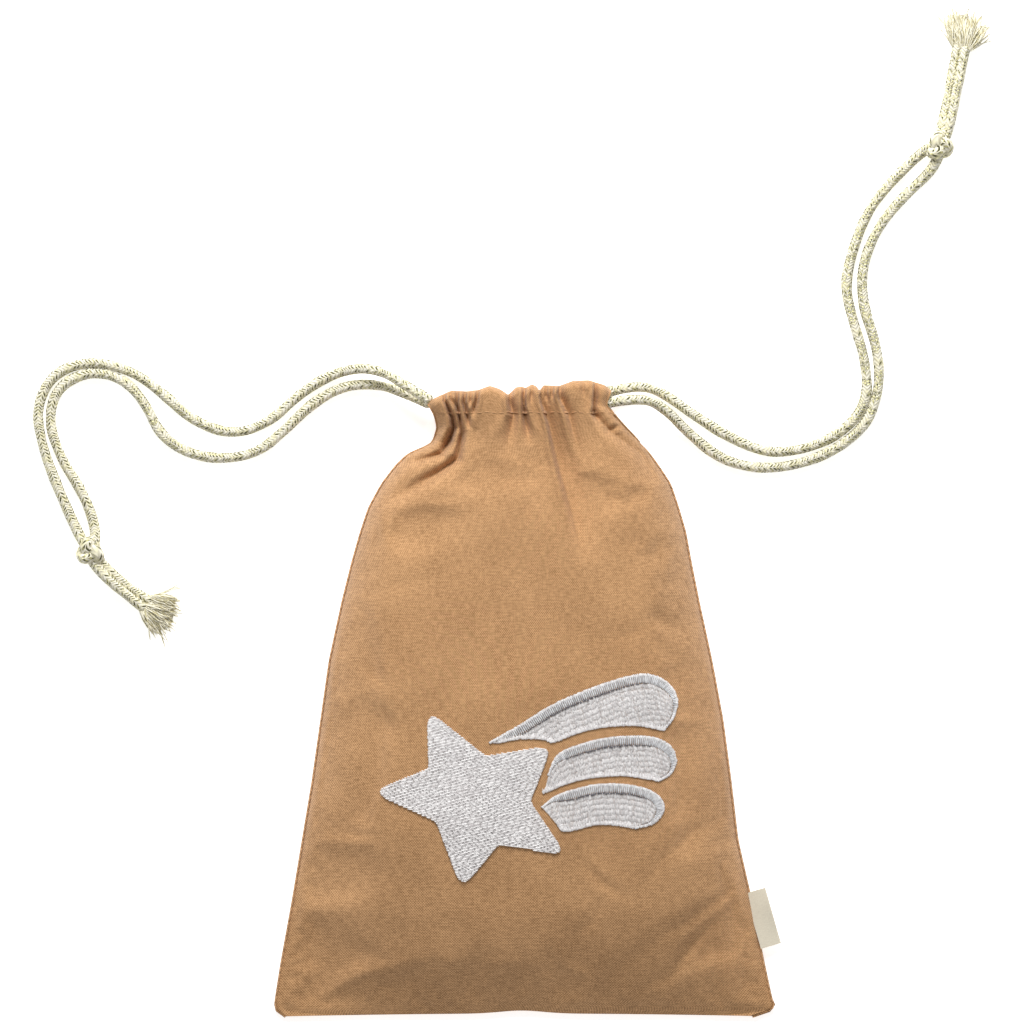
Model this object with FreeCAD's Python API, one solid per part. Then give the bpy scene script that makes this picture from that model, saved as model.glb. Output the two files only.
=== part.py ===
import FreeCAD
import Part

import math
import os

# Fabric gift sack with a gathered drawstring mouth, lying flat on its back.
# Millimetres.  Origin at the centre of the sack's underside, without the cords:
# +X to the right, +Y from the foot to the mouth, +Z up out of the front.

# ---------------------------------------------------------------- driving dimensions
foot_y = -126.8             # sewn bottom edge
mouth_y = 126.8             # folded top edge of the casings
cloth = 1.0                 # cloth thickness, with its slack
seam_gap = 0.1              # between the front and the back panel along the seam
rim = 2.6                   # width of the front panel's rim on the seam
side_rise = 12.0            # width over which the back panel rises to the side seams
floor_trim = 0.5            # cut off the back panel's underside, to leave one level face

cord_d = 4.8                # braided cord
cord_rest = cord_d / 2 + 0.1    # height of the cord's line where it lies on the surface
limp_radius = 3 * cord_d    # tightest bend of the free cord

casing_left = -39.6         # slits at the ends of the gathered casings
casing_right = 33.8
casing_foot = 113.3         # stitched lower edge of the casings
casing_wall = 0.8
casing_height = 8.8
back_casing_z = 0.7         # underside of the back casing, above its stitches
front_casing_z = 14.2       # underside of the front casing
slit_notch = 13.4           # casing wall left open beside each slit, for the turning cord
thread_radius = 0.3
stitch_stand = thread_radius + 0.02     # a stitch's line above the cloth

channel_y = (casing_foot + mouth_y) / 2
cord_pitch = 6.0            # between the two cords that share a channel
upper_y = channel_y + cord_pitch / 2
lower_y = channel_y - cord_pitch / 2
front_z = front_casing_z + casing_height / 2
back_z = back_casing_z + casing_height / 2

# Across the sack at each station: y, left edge, right edge, seam height, crown height.
stations = [
    (-126.8, -99.2, 94.0, 2.4, 3.8),
    (-123.6, -101.0, 100.2, 2.6, 5.6),
    (-108.0, -98.8, 95.6, 3.6, 13.0),
    (-84.0, -94.6, 90.8, 4.4, 21.0),
    (-48.0, -88.4, 83.4, 5.0, 27.0),
    (0.0, -81.4, 77.2, 5.4, 29.0),
    (40.0, -73.8, 69.0, 5.4, 29.0),
    (66.0, -66.8, 63.8, 5.4, 28.0),
    (86.0, -58.2, 57.8, 6.2, 26.4),
    (97.0, -48.4, 50.4, 8.0, 25.0),
    (103.0, -38.2, 45.4, 9.4, 23.6),
    (113.1, -37.4, 35.6, 11.0, 21.4),
]
closed_foot = 2             # stations at the foot where front and back are sewn together

nodes = {}


def vec(x, y, z=0.0):
    return FreeCAD.Vector(x, y, z)


def closed_wire(corners):
    return Part.makePolygon(corners + corners[:1])


def loft(wires):
    """Solid with straight sides between neighbouring sections."""
    return Part.makeLoft(wires, True, True)


# ---------------------------------------------------------------- panels
def crown_section(y, left, right, base, top):
    """Flat base and one arc over it."""
    start = vec(left, y, base)
    end = vec(right, y, base)
    arc = Part.Arc(start, vec((left + right) / 2, y, top), end)
    return Part.Wire([arc.toShape(), Part.LineSegment(end, start).toShape()])


def crown(lift, inset=0.0, first=0):
    """The front's crowned form, raised by lift; an inset form also reaches below the seam."""
    wires = []
    for y, left, right, seam, top in stations[first:]:
        base = seam + seam_gap / 2 - (1.0 if inset else 0.0)
        wires.append(crown_section(y, left + inset, right - inset, base, top + lift))
    return loft(wires)


def tray_section(y, left, right, seam, inner):
    """Floor with sloping sides up to the seam; the outer floor is left low, to be cut level."""
    base = cloth if inner else -floor_trim
    rise = seam - seam_gap / 2
    lip = rise + (1.0 if inner else 0.0)
    wall = cloth * math.hypot(1.0, side_rise / rise) if inner else 0.0
    low = side_rise * (rise - base) / rise + wall
    high = side_rise * (rise - lip) / rise + wall
    return closed_wire([
        vec(left + high, y, lip),
        vec(left + low, y, base),
        vec(right - low, y, base),
        vec(right - high, y, lip),
    ])


def tray(first, inner):
    wires = [tray_section(y, left, right, seam, inner) for y, left, right, seam, _ in stations[first:]]
    return loft(wires)


def make_panels():
    nodes["front_panel"] = crown(0.0).cut(crown(-cloth, rim, closed_foot))
    below_floor = Part.makeBox(300.0, 300.0, floor_trim + 1.0, vec(-150.0, -150.0, -floor_trim - 1.0))
    nodes["back_panel"] = tray(0, False).cut(tray(closed_foot, True)).cut(below_floor)


# ---------------------------------------------------------------- seams
def side_seam(side):
    """Sewn allowance inside the sack, along one side from the foot to the shoulder."""
    inset = rim + 3.4
    width = 5.0
    half = 0.25
    wires = []
    for y, left, right, seam, _ in stations[closed_foot:10]:
        outer = left + inset if side < 0 else right - inset
        inner = outer - side * width
        z = seam + 0.3
        wires.append(closed_wire([
            vec(outer, y, z - half),
            vec(inner, y, z - half),
            vec(inner, y, z + half),
            vec(outer, y, z + half),
        ]))
    return loft(wires)


def make_seams():
    nodes["left_side_seam"] = side_seam(-1)
    nodes["right_side_seam"] = side_seam(1)
    seam_y = stations[closed_foot][0] + 1.0
    nodes["bottom_seam"] = Part.makeBox(150.0, 5.0, 0.6, vec(-78.0, seam_y, 4.6))


# ---------------------------------------------------------------- casings
def slot_prism(inset, base, length, start):
    """Rounded bar along X, as high as the casing less its inset."""
    low_y = casing_foot + inset
    high_y = mouth_y - inset
    radius = casing_height / 2 - inset
    bar = Part.makeBox(length, high_y - low_y, 2 * radius, vec(start, low_y, base + inset))
    return bar.makeFillet(radius * 0.95, [edge for edge in bar.Edges if abs(edge.BoundBox.XLength - length) < 0.01])


def casing(base, mouth_side):
    """Flattened tube for the cords, open towards the mouth beside each slit."""
    length = casing_right - casing_left
    tube = slot_prism(0.0, base, length, casing_left)
    tube = tube.cut(slot_prism(casing_wall, base, length + 2.0, casing_left - 1.0))
    notch_z = base + casing_height / 2 if mouth_side > 0 else base - 1.0
    for start in (casing_left - 1.0, casing_right - slit_notch):
        notch_y = casing_foot + casing_wall
        notch_depth = mouth_y - casing_foot - 2 * casing_wall
        tube = tube.cut(Part.makeBox(slit_notch + 1.0, notch_depth, casing_height / 2 + 1.0,
                                     vec(start, notch_y, notch_z)))
    return tube


def stitch_row(y, z):
    """Row of short stitches along a casing's lower edge."""
    stitch = 2.2
    pitch = 3.2
    count = int((casing_right - casing_left - 4.0) / pitch)
    stitches = []
    for index in range(count):
        start = vec(casing_left + 3.0 + index * pitch, y, z)
        stitches.append(Part.makeCylinder(thread_radius, stitch, start, vec(1, 0, 0)))
    return Part.makeCompound(stitches)


def make_casings():
    nodes["front_casing"] = casing(front_casing_z, -1)
    nodes["back_casing"] = casing(back_casing_z, 1)
    row_y = casing_foot + casing_height / 2
    nodes["front_casing_stitching"] = stitch_row(row_y, front_casing_z + casing_height + stitch_stand)
    nodes["back_casing_stitching"] = stitch_row(row_y, back_casing_z - stitch_stand)


# ---------------------------------------------------------------- embroidery
def prism(edges):
    """Upright prism over a closed outline."""
    face = Part.Face(Part.Wire(edges))
    return face.extrude(vec(0, 0, 60.0))


def skin(outline, low, high, inset=0.0):
    """Plate over an outline, following the crown between two heights above it."""
    plate = prism(outline).common(crown(high, inset))
    return plate.cut(crown(low, inset))


def arc_edge(start, middle, end):
    return Part.Arc(vec(*start), vec(*middle), vec(*end)).toShape()


def line_edge(start, end):
    return Part.LineSegment(vec(*start), vec(*end)).toShape()


# Star: outer tips and the hollows between them, in turn.
star_points = [
    (-37.8, -6.8), (-16.2, -21.6), (7.8, -21.6), (1.8, -40.4), (13.4, -60.4),
    (-9.8, -58.4), (-25.0, -72.8), (-35.8, -49.2), (-58.8, -37.2), (-39.0, -28.0),
]

# Streaks: start, crest and end of the upper edge, rounded end, lower edge back to the star.
streaks = {
    "upper_streak": [(-12.6, -17.2), (20.0, 2.4), (53.0, 9.6), (60.4, -2.4), (55.0, -13.2), (31.0, -12.4),
                     (10.2, -18.0)],
    "middle_streak": [(12.6, -22.0), (33.0, -15.4), (53.0, -16.2), (60.2, -24.4), (52.2, -33.2), (30.0, -31.4),
                      (6.6, -38.0)],
    "lower_streak": [(7.4, -42.0), (28.6, -34.8), (50.0, -37.2), (54.8, -44.0), (49.8, -50.8), (32.0, -50.2),
                     (15.0, -52.6)],
}

# Grey line sewn over each streak: start, middle and end.
shade_lines = {
    "upper_shade_line": [(-2.0, -12.6), (22.4, -1.4), (49.8, 5.4)],
    "middle_shade_line": [(15.0, -24.8), (34.6, -18.6), (52.2, -20.8)],
    "lower_shade_line": [(11.4, -43.4), (28.6, -38.0), (47.8, -41.6)],
}

embroidery_low = 0.15
embroidery_high = 1.1


def star_outline():
    points = star_points + star_points[:1]
    return [line_edge(start, end) for start, end in zip(points, points[1:])]


def streak_outline(points):
    return [
        arc_edge(points[0], points[1], points[2]),
        arc_edge(points[2], points[3], points[4]),
        arc_edge(points[4], points[5], points[6]),
        line_edge(points[6], points[0]),
    ]


def line_outline(points, width):
    """Thin band between two copies of an arc."""
    above = [(x, y + width / 2) for x, y in points]
    below = [(x, y - width / 2) for x, y in reversed(points)]
    return [
        arc_edge(*above),
        line_edge(above[-1], below[0]),
        arc_edge(*below),
        line_edge(below[-1], above[0]),
    ]


def backing_outline(left, right, low, high):
    corners = [(left, low), (right, low), (right, high), (left, high)]
    return [line_edge(start, end) for start, end in zip(corners, corners[1:] + corners[:1])]


def make_embroidery():
    nodes["star_embroidery"] = skin(star_outline(), embroidery_low, embroidery_high)
    for name, points in streaks.items():
        nodes[name] = skin(streak_outline(points), embroidery_low, embroidery_high)
    for name, points in shade_lines.items():
        nodes[name] = skin(line_outline(points, 0.9), embroidery_high + 0.05, embroidery_high + 0.5)
    inside = -cloth - 0.2
    backing = backing_outline(-54.0, 56.0, -70.0, 8.0)
    nodes["embroidery_backing"] = skin(backing, inside - 0.5, inside, rim)


# ---------------------------------------------------------------- side label
def make_side_label():
    """Blank folded tape sewn into the right side seam."""
    length = 23.0
    reach = 7.6
    layer = 0.35
    gap = 0.2
    profile = Part.makeBox(reach, length, 2 * layer + gap)
    profile = profile.cut(Part.makeBox(reach - layer, length, gap, vec(0, 0, layer)))
    profile.rotate(vec(0, 0, 0), vec(0, 0, 1), 16.0)
    profile.translate(vec(93.0, -99.6, 3.6))
    outside = profile.BoundBox
    profile.translate(vec(-stations[1][1] - outside.XMax, 0, 0))
    nodes["side_label"] = profile


# ---------------------------------------------------------------- cords
# Routes of the free strands, hand-laid: from the slit to the knot.
left_front_route = [
    (casing_left, upper_y, front_z), (-48.0, 126.4, 17.0), (-60.6, 133.6, 10.0), (-76.0, 131.0, cord_rest),
    (-91.0, 122.0, cord_rest), (-102.0, 111.0, cord_rest), (-117.0, 105.4, cord_rest),
    (-133.0, 111.0, cord_rest), (-145.0, 122.4, cord_rest), (-157.0, 132.6, cord_rest),
    (-173.0, 137.6, cord_rest), (-189.2, 132.6, cord_rest), (-197.2, 117.0, cord_rest),
    (-193.6, 100.0, cord_rest), (-187.0, 84.0, cord_rest), (-181.0, 70.4, cord_rest),
    (-177.4, 63.4, cord_rest + 1.0),
]
left_back_route = [
    (casing_left, lower_y, back_z), (-47.0, 119.2, 4.0), (-59.0, 125.0, 3.0), (-73.0, 125.4, cord_rest),
    (-86.0, 118.0, cord_rest), (-96.0, 108.0, cord_rest), (-107.0, 98.6, cord_rest),
    (-121.0, 95.8, cord_rest), (-135.0, 98.0, cord_rest), (-146.4, 105.6, cord_rest),
    (-152.4, 118.6, cord_rest), (-161.4, 128.4, cord_rest), (-175.0, 131.2, cord_rest),
    (-187.6, 124.6, cord_rest), (-191.4, 110.4, cord_rest), (-185.0, 96.0, cord_rest),
    (-177.4, 83.0, cord_rest), (-172.4, 70.0, cord_rest), (-171.6, 63.0, cord_rest + 1.0),
]
right_back_route = [
    (casing_right, upper_y, back_z), (42.0, 125.4, 4.0), (53.0, 123.6, 3.2), (67.0, 113.4, cord_rest),
    (81.0, 104.6, cord_rest), (96.0, 98.6, cord_rest), (111.0, 100.6, cord_rest),
    (125.6, 107.4, cord_rest), (135.4, 119.0, cord_rest), (134.6, 135.6, cord_rest),
    (130.8, 150.0, cord_rest), (127.0, 165.0, cord_rest), (130.2, 179.6, cord_rest),
    (136.0, 194.6, cord_rest), (145.4, 206.6, cord_rest), (155.0, 216.0, cord_rest),
    (160.4, 220.4, cord_rest + 1.0),
]
right_front_route = [
    (casing_right, lower_y, front_z), (42.8, 120.2, 16.0), (53.2, 118.0, 9.4), (66.0, 105.0, cord_rest),
    (79.0, 95.0, cord_rest), (95.0, 91.6, cord_rest), (110.6, 93.8, cord_rest),
    (125.6, 99.6, cord_rest), (137.8, 110.0, cord_rest), (142.4, 126.0, cord_rest),
    (140.4, 142.0, cord_rest), (134.2, 157.6, cord_rest), (134.0, 173.4, cord_rest),
    (139.8, 187.6, cord_rest), (149.6, 200.0, cord_rest), (160.4, 209.6, cord_rest),
    (164.8, 215.2, cord_rest + 1.0),
]

# Cord ends beyond the knots.
left_tails = [
    [(-170.4, 55.8, cord_rest + 1.0), (-163.4, 49.2, cord_rest), (-155.0, 42.6, cord_rest),
     (-145.6, 37.2, cord_rest)],
    [(-174.4, 52.2, cord_rest + 1.0), (-168.2, 44.8, cord_rest), (-159.6, 37.8, cord_rest),
     (-150.2, 32.6, cord_rest)],
]
right_tails = [
    [(164.2, 226.4, cord_rest + 1.0), (166.6, 235.2, cord_rest), (168.8, 246.4, cord_rest),
     (171.6, 257.6, cord_rest)],
    [(169.2, 225.4, cord_rest + 1.0), (171.8, 234.2, cord_rest), (174.0, 245.4, cord_rest),
     (177.2, 256.4, cord_rest)],
]
left_knot_place = (-174.2, 58.8)
right_knot_place = (164.8, 220.8)
knot_radius = 5.4
fray_length = 10.0


def rounded_path(points, name):
    """Straight runs joined by tangent arcs; returns the edges and prints the tightest arc."""
    corners = [vec(*point) for point in points]
    edges = []
    radii = []
    start = corners[0]
    for before, corner, after in zip(corners, corners[1:], corners[2:]):
        inward = before - corner
        outward = after - corner
        reach = 0.45 * min(inward.Length, outward.Length)
        turn = math.pi - inward.getAngle(outward)
        radii.append(reach / math.tan(turn / 2))
        inward.normalize()
        outward.normalize()
        arc_start = corner + inward * reach
        arc_end = corner + outward * reach
        bisector = inward + outward
        bisector.normalize()
        middle = corner + bisector * (radii[-1] * (1 / math.cos(turn / 2) - 1))
        edges.append(Part.LineSegment(start, arc_start).toShape())
        edges.append(Part.Arc(arc_start, middle, arc_end).toShape())
        start = arc_end
    edges.append(Part.LineSegment(start, corners[-1]).toShape())
    length = sum(edge.Length for edge in edges)
    print(f"{name}: length {length:.1f}, tightest radius {min(radii):.1f}, widest {max(radii):.1f}")
    return edges


def tube(edges, name):
    """Round tube along a path; its volume is checked against section times length."""
    path = Part.Wire(edges)
    first = edges[0]
    section = Part.Circle(first.valueAt(first.FirstParameter), first.tangentAt(first.FirstParameter), cord_d / 2)
    solid = path.makePipeShell([Part.Wire([section.toShape()])], True, False)
    expected = math.pi * cord_d ** 2 / 4 * path.Length
    print(f"{name}: volume is {solid.Volume / expected:.4f} of section times length")
    return solid


def free_tube(name, points):
    nodes[name] = tube(rounded_path(points, name), name)


def channel_loop(name, slit, turn_side, front_y, back_y):
    """Cord inside the casings: along the front channel, round the far slit and back."""
    reach_y = (front_y - back_y) / 2
    reach_z = (front_z - back_z) / 2
    radius = math.hypot(reach_y, reach_z)
    far_slit = casing_right if turn_side > 0 else casing_left
    turn_x = far_slit - turn_side * (radius + cord_d / 2 + 0.4)
    front_end = vec(turn_x, front_y, front_z)
    back_end = vec(turn_x, back_y, back_z)
    crest = vec(turn_x + turn_side * radius, (front_y + back_y) / 2, (front_z + back_z) / 2)
    edges = [
        Part.LineSegment(vec(slit, front_y, front_z), front_end).toShape(),
        Part.Arc(front_end, crest, back_end).toShape(),
        Part.LineSegment(back_end, vec(slit, back_y, back_z)).toShape(),
    ]
    nodes[name] = tube(edges, name)


def knot(place):
    """Outer form of an overhand knot tied in two strands."""
    x, y = place
    height = knot_radius + 0.1
    body = Part.makeSphere(knot_radius, vec(x, y, height))
    band = Part.makeTorus(knot_radius - 1.6, 2.2, vec(x, y, height))
    return body.fuse(band).removeSplitter()


def frayed_end(tail):
    """Loosened yarns at a cord's end, as one flared form."""
    before = vec(*tail[-2])
    end = vec(*tail[-1])
    along = end - before
    along.normalize()
    return Part.makeCone(cord_d / 2, cord_d / 2 - 1.0, fray_length, end, along)


def make_cords():
    channel_loop("left_cord_channel_loop", casing_left, 1, upper_y, lower_y)
    channel_loop("right_cord_channel_loop", casing_right, -1, lower_y, upper_y)
    free_tube("left_cord_front_strand", left_front_route)
    free_tube("left_cord_back_strand", left_back_route)
    free_tube("right_cord_front_strand", right_front_route)
    free_tube("right_cord_back_strand", right_back_route)
    nodes["left_knot"] = knot(left_knot_place)
    nodes["right_knot"] = knot(right_knot_place)
    for side, tails in (("left", left_tails), ("right", right_tails)):
        for place, tail in zip(("inner", "outer"), tails):
            free_tube(f"{side}_{place}_tail", tail)
            nodes[f"{side}_{place}_frayed_end"] = frayed_end(tail)


# ---------------------------------------------------------------- build and export
def export_nodes():
    os.makedirs("parts", exist_ok=True)
    for name, shape in nodes.items():
        shape.exportStep(f"parts/{name}.step")


make_panels()
make_seams()
make_casings()
make_embroidery()
make_side_label()
make_cords()
export_nodes()
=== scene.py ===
import math

import bpy
import numpy as np
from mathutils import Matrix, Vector
from mathutils.bvhtree import BVHTree


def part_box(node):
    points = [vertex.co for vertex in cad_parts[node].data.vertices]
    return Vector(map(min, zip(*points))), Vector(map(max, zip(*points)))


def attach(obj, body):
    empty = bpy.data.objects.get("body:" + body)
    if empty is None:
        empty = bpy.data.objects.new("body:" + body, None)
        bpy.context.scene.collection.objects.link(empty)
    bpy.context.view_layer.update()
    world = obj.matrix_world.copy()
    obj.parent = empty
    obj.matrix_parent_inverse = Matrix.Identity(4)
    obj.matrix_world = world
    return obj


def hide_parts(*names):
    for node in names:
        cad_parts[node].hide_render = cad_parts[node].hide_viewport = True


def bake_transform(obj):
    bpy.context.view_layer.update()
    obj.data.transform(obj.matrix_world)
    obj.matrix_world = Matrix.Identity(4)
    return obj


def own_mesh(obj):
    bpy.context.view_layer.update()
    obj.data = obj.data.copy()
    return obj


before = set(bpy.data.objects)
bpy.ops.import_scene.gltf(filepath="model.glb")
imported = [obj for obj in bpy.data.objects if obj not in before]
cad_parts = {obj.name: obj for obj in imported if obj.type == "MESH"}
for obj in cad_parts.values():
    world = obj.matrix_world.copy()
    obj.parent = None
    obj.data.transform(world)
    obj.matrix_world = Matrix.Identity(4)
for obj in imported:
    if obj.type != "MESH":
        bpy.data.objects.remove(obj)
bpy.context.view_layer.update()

# Lengths are millimetres, and become metres where a mesh or curve is made.
MM = 0.001


def corner_mm(node, corner):
    """Lowest (0) or highest (1) corner of a CAD node, in millimetres."""
    return np.array(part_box(node)[corner]) / MM


# ------------------------------------------------------------------ sizes taken from the frame
FOOT_Y = corner_mm("back_panel", 0)[1]
HEM_Y = corner_mm("front_casing", 0)[1]
CASING_UNDER_Z = corner_mm("front_casing", 0)[2]
SLIT_LEFT = corner_mm("front_casing", 0)[0]
SLIT_RIGHT = corner_mm("front_casing", 1)[0]
BACK_CASING_LOW = corner_mm("back_casing", 0)[2]
BACK_CASING_HIGH = corner_mm("back_casing", 1)[2]
NECK_X = (SLIT_LEFT + SLIT_RIGHT) / 2
CORD_D = 4.8
CORD_REST = CORD_D / 2 + 0.1
CLOTH = 0.7
SEAM_INSET = 0.8
CORD_CLEAR = CASING_UNDER_Z + 4.3
FOOT_INSET = 0.4

rng = np.random.default_rng(11)


# ------------------------------------------------------------------ camera and studio
PICTURE_WIDTH = 409.6
PICTURE_CENTRE = (-5.8, 74.8)


def add_object(name, data):
    made = bpy.data.objects.new(name, data)
    bpy.context.scene.collection.objects.link(made)
    return made


def add_camera(lens=200.0):
    """Long lens straight above, so that the picture is as wide as the sack with both its cords."""
    data = bpy.data.cameras.new("camera")
    data.lens = lens
    data.clip_end = 10
    camera = add_object("camera", data)
    height = PICTURE_WIDTH * MM * lens / data.sensor_width
    camera.location = (PICTURE_CENTRE[0] * MM, PICTURE_CENTRE[1] * MM, height)
    bpy.context.scene.camera = camera


def add_soft_light(name, place, size, watts):
    """Square lamp turned to face the sack."""
    data = bpy.data.lights.new(name, "AREA")
    data.shape = "RECTANGLE"
    data.size = size
    data.size_y = size
    data.energy = watts
    lamp = add_object(name, data)
    lamp.location = place
    lamp.rotation_euler = (-Vector(place)).to_track_quat("-Z", "Y").to_euler()


# ------------------------------------------------------------------ node wiring
class Wiring:
    """Adds nodes to one tree. A value is a number or an output socket."""

    def __init__(self, tree):
        self.tree = tree

    def node(self, kind, **values):
        made = self.tree.nodes.new(kind)
        for name, value in values.items():
            setattr(made, name, value)
        return made

    def feed(self, socket, value):
        if isinstance(value, bpy.types.NodeSocket):
            self.tree.links.new(value, socket)
        else:
            socket.default_value = value

    def math(self, operation, *values):
        made = self.node("ShaderNodeMath", operation=operation)
        for socket, value in zip(made.inputs, values):
            self.feed(socket, value)
        return made.outputs[0]

    def times(self, first, second):
        return self.math("MULTIPLY", first, second)

    def plus(self, first, second):
        return self.math("ADD", first, second)

    def sine(self, value):
        return self.math("SINE", value)

    def parts(self, vector):
        made = self.node("ShaderNodeSeparateXYZ")
        self.feed(made.inputs[0], vector)
        return made.outputs[0], made.outputs[1]

    def join(self, x, y, z=0.0):
        made = self.node("ShaderNodeCombineXYZ")
        for socket, value in zip(made.inputs, (x, y, z)):
            self.feed(socket, value)
        return made.outputs[0]

    def noise(self, vector, scale, detail=2.0):
        made = self.node("ShaderNodeTexNoise")
        self.feed(made.inputs["Vector"], vector)
        made.inputs["Scale"].default_value = scale
        made.inputs["Detail"].default_value = detail
        return made.outputs["Fac"]

    def spread(self, value, low, high, to_low=0.0, to_high=1.0):
        made = self.node("ShaderNodeMapRange", interpolation_type="SMOOTHSTEP")
        for socket, item in zip(made.inputs, (value, low, high, to_low, to_high)):
            self.feed(socket, item)
        return made.outputs[0]

    def mix(self, share, first, second):
        made = self.node("ShaderNodeMix", data_type="RGBA")
        self.feed(made.inputs["Factor"], share)
        self.feed(made.inputs[6], first)
        self.feed(made.inputs[7], second)
        return made.outputs[2]


def new_group(name, inputs, outputs):
    """Empty node group with its sockets, its wiring, its input values and its output node."""
    tree = bpy.data.node_groups.new(name, "ShaderNodeTree")
    for label, kind in inputs:
        tree.interface.new_socket(label, in_out="INPUT", socket_type=kind)
    for label in outputs:
        tree.interface.new_socket(label, in_out="OUTPUT", socket_type="NodeSocketFloat")
    wires = Wiring(tree)
    return tree, wires, wires.node("NodeGroupInput").outputs, wires.node("NodeGroupOutput").inputs


def weave_group():
    """Plain weave: Place is in threads, and Height and Tone run from 0 to 1."""
    tree, w, given, out = new_group("weave", [("Place", "NodeSocketVector")], ["Height", "Tone"])
    x, y = w.parts(given["Place"])
    over = w.times(w.sine(w.times(x, math.pi)), w.sine(w.times(y, math.pi)))
    weft = w.noise(w.join(w.times(x, 0.20), y), 0.8)
    warp = w.noise(w.join(x, w.times(y, 0.16), 5.0), 0.8)
    slub = w.plus(w.times(weft, 0.62), w.times(warp, 0.38))
    w.feed(out["Height"], w.plus(w.times(over, 0.45), slub))
    # Tone is random slub tone plus painted shade: lighter where the threads rise, darker at the weave's low
    # points.
    w.feed(out["Tone"], w.spread(w.plus(slub, w.times(over, 0.26)), 0.30, 0.70))
    return tree


def braid_group():
    """Plaited cord: Place counts plait columns round it and stitches along it."""
    tree, w, given, out = new_group("braid", [("Place", "NodeSocketVector")],
                                    ["Height", "Fleck", "Tone"])
    column, along = w.parts(given["Place"])
    inside = w.math("FRACT", column)
    number = w.math("FLOOR", column)
    lean = w.math("SUBTRACT", w.times(w.math("MODULO", number, 2.0), 2.0), 1.0)
    phase = w.plus(along, w.times(lean, inside))
    stitch = w.math("FLOOR", phase)
    across = w.math("FRACT", phase)
    hump = w.sine(w.times(across, math.pi))
    chance = w.node("ShaderNodeTexWhiteNoise", noise_dimensions="3D")
    w.feed(chance.inputs["Vector"], w.join(number, stitch, 0.5))
    clusters = w.spread(w.noise(given["Place"], 0.33), 0.38, 0.60, 0.66, 0.20)
    chosen = w.math("GREATER_THAN", chance.outputs["Value"], clusters)
    thin = w.math("LESS_THAN", across, 0.54)
    middle = w.math("LESS_THAN", w.math("ABSOLUTE", w.math("SUBTRACT", inside, 0.5)), 0.40)
    w.feed(out["Fleck"], w.times(w.times(chosen, thin), middle))
    fibres = w.noise(w.join(w.times(phase, 7.0), w.times(inside, 2.0), stitch), 1.0)
    w.feed(out["Height"], w.plus(hump, w.times(fibres, 0.35)))
    # Tone is painted shade between the stitches, each darker towards its ends, times a random fibre tone.
    w.feed(out["Tone"], w.times(hump, w.spread(fibres, 0.3, 0.7, 0.75, 1.0)))
    return tree


def thread_group():
    """Twisted sewing thread: Place is in millimetres along and across it."""
    tree, w, given, out = new_group("thread", [("Place", "NodeSocketVector")], ["Height", "Tone"])
    x, y = w.parts(given["Place"])
    twist = w.sine(w.times(w.plus(x, w.times(y, 6.0)), 12.0))
    w.feed(out["Height"], w.plus(w.times(twist, 0.5), 0.5))
    w.feed(out["Tone"], w.spread(w.noise(w.join(w.times(x, 0.4), y), 0.9), 0.36, 0.58))
    return tree


def new_material(name):
    """Material with its wiring and its shader's sockets."""
    made = bpy.data.materials.new(name)
    made.use_nodes = True
    wires = Wiring(made.node_tree)
    return made, wires, made.node_tree.nodes["Principled BSDF"].inputs


def placed_group(wires, group, scale):
    """Group placed in a material, fed with the mesh's own map times scale."""
    lay = wires.node("ShaderNodeUVMap", uv_map="lay")
    size = wires.node("ShaderNodeVectorMath", operation="SCALE")
    wires.feed(size.inputs[0], lay.outputs[0])
    size.inputs["Scale"].default_value = scale
    used = wires.node("ShaderNodeGroup", node_tree=group)
    wires.feed(used.inputs["Place"], size.outputs[0])
    return used.outputs


def bump(wires, shader, height, depth, strength=1.0):
    made = wires.node("ShaderNodeBump")
    made.inputs["Strength"].default_value = strength
    made.inputs["Distance"].default_value = depth * MM
    wires.feed(made.inputs["Height"], height)
    wires.feed(shader["Normal"], made.outputs[0])


def cloth_material(name, weave, colour, dark, threads_per_mm, mottle):
    made, w, shader = new_material(name)
    threads = placed_group(w, weave, threads_per_mm)
    lay = w.node("ShaderNodeUVMap", uv_map="lay")
    patches = w.noise(lay.outputs[0], 0.035, 3.0)
    worn = w.spread(patches, 0.35, 0.68, 0.0, mottle)
    # Colour from the weave's tone, partly painted shade at its low points, plus random mottling.
    tone_and_painted_shade = w.plus(w.times(threads["Tone"], 0.75), worn)
    w.feed(shader["Base Color"], w.mix(tone_and_painted_shade, (*dark, 1), (*colour, 1)))
    w.feed(shader["Roughness"], w.spread(threads["Tone"], 0.0, 1.0, 0.95, 0.82))
    shader["Specular IOR Level"].default_value = 0.18
    shader["Sheen Weight"].default_value = 0.12
    shader["Sheen Roughness"].default_value = 0.6
    bump(w, shader, threads["Height"], 0.16, 0.75)
    return made


def cord_material(braid):
    made, w, shader = new_material("braided_cord")
    plait = placed_group(w, braid, 1.0)
    lay = w.node("ShaderNodeUVMap", uv_map="lay")
    warm = w.spread(w.noise(lay.outputs[0], 0.62), 0.44, 0.62)
    light = w.mix(warm, (0.88, 0.85, 0.73, 1), (0.84, 0.79, 0.52, 1))
    # Cream darkened between the plait's stitches by painted shade.
    cream_with_painted_shade = w.mix(plait["Tone"], (0.62, 0.58, 0.43, 1), light)
    gold = w.mix(w.spread(w.noise(lay.outputs[0], 1.3), 0.44, 0.56),
                 (0.085, 0.082, 0.034, 1), (0.50, 0.47, 0.22, 1))
    w.feed(shader["Base Color"], w.mix(plait["Fleck"], cream_with_painted_shade, gold))
    w.feed(shader["Roughness"], w.spread(plait["Fleck"], 0.0, 1.0, 0.85, 0.35))
    w.feed(shader["Metallic"], w.times(plait["Fleck"], 0.5))
    bump(w, shader, plait["Height"], 0.22)
    return made


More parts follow.
